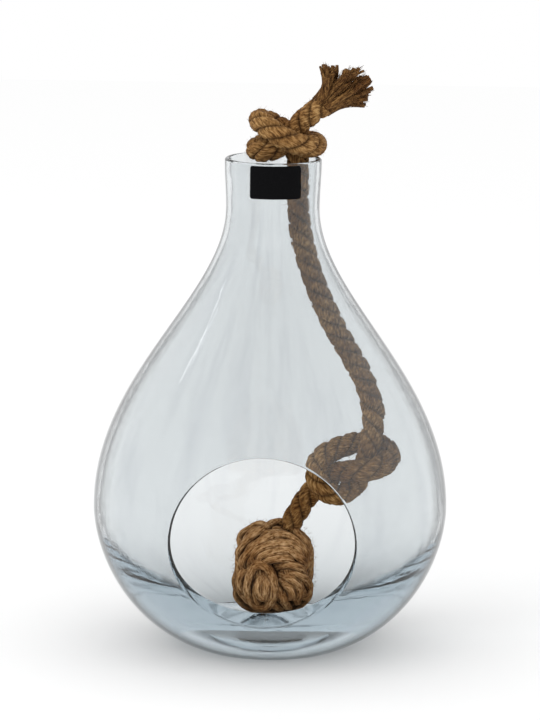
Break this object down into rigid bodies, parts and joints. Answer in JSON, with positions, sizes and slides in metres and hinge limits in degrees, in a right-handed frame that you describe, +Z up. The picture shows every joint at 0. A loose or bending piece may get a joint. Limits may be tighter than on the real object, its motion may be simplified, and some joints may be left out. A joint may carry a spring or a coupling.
{
  "type": "tealight holder",
  "caption": "Teardrop blown-glass candle holder with a round opening in its side and a knotted jute rope hanging down its neck.",
  "frame": {"origin": "centre of the flat base, on the vessel's axis, on the surface the holder stands on", "axes": "+Z up along the vessel's axis; -Y points out of the side opening, at the viewer; +X is to the right seen from the front"},
  "size_m": [0.216, 0.2055, 0.36],
  "materials": {
    "clear_glass": "polished, clear with a slight blue-grey tint",
    "label_paper": "satin black",
    "jute": "rough, hairy natural fibre"
  },
  "bodies": {
    "root": {"glass_vessel": "clear_glass", "label": "label_paper", "rope": "jute", "end_knot": "jute", "frayed_end": "jute"}
  },
  "joints": []
}
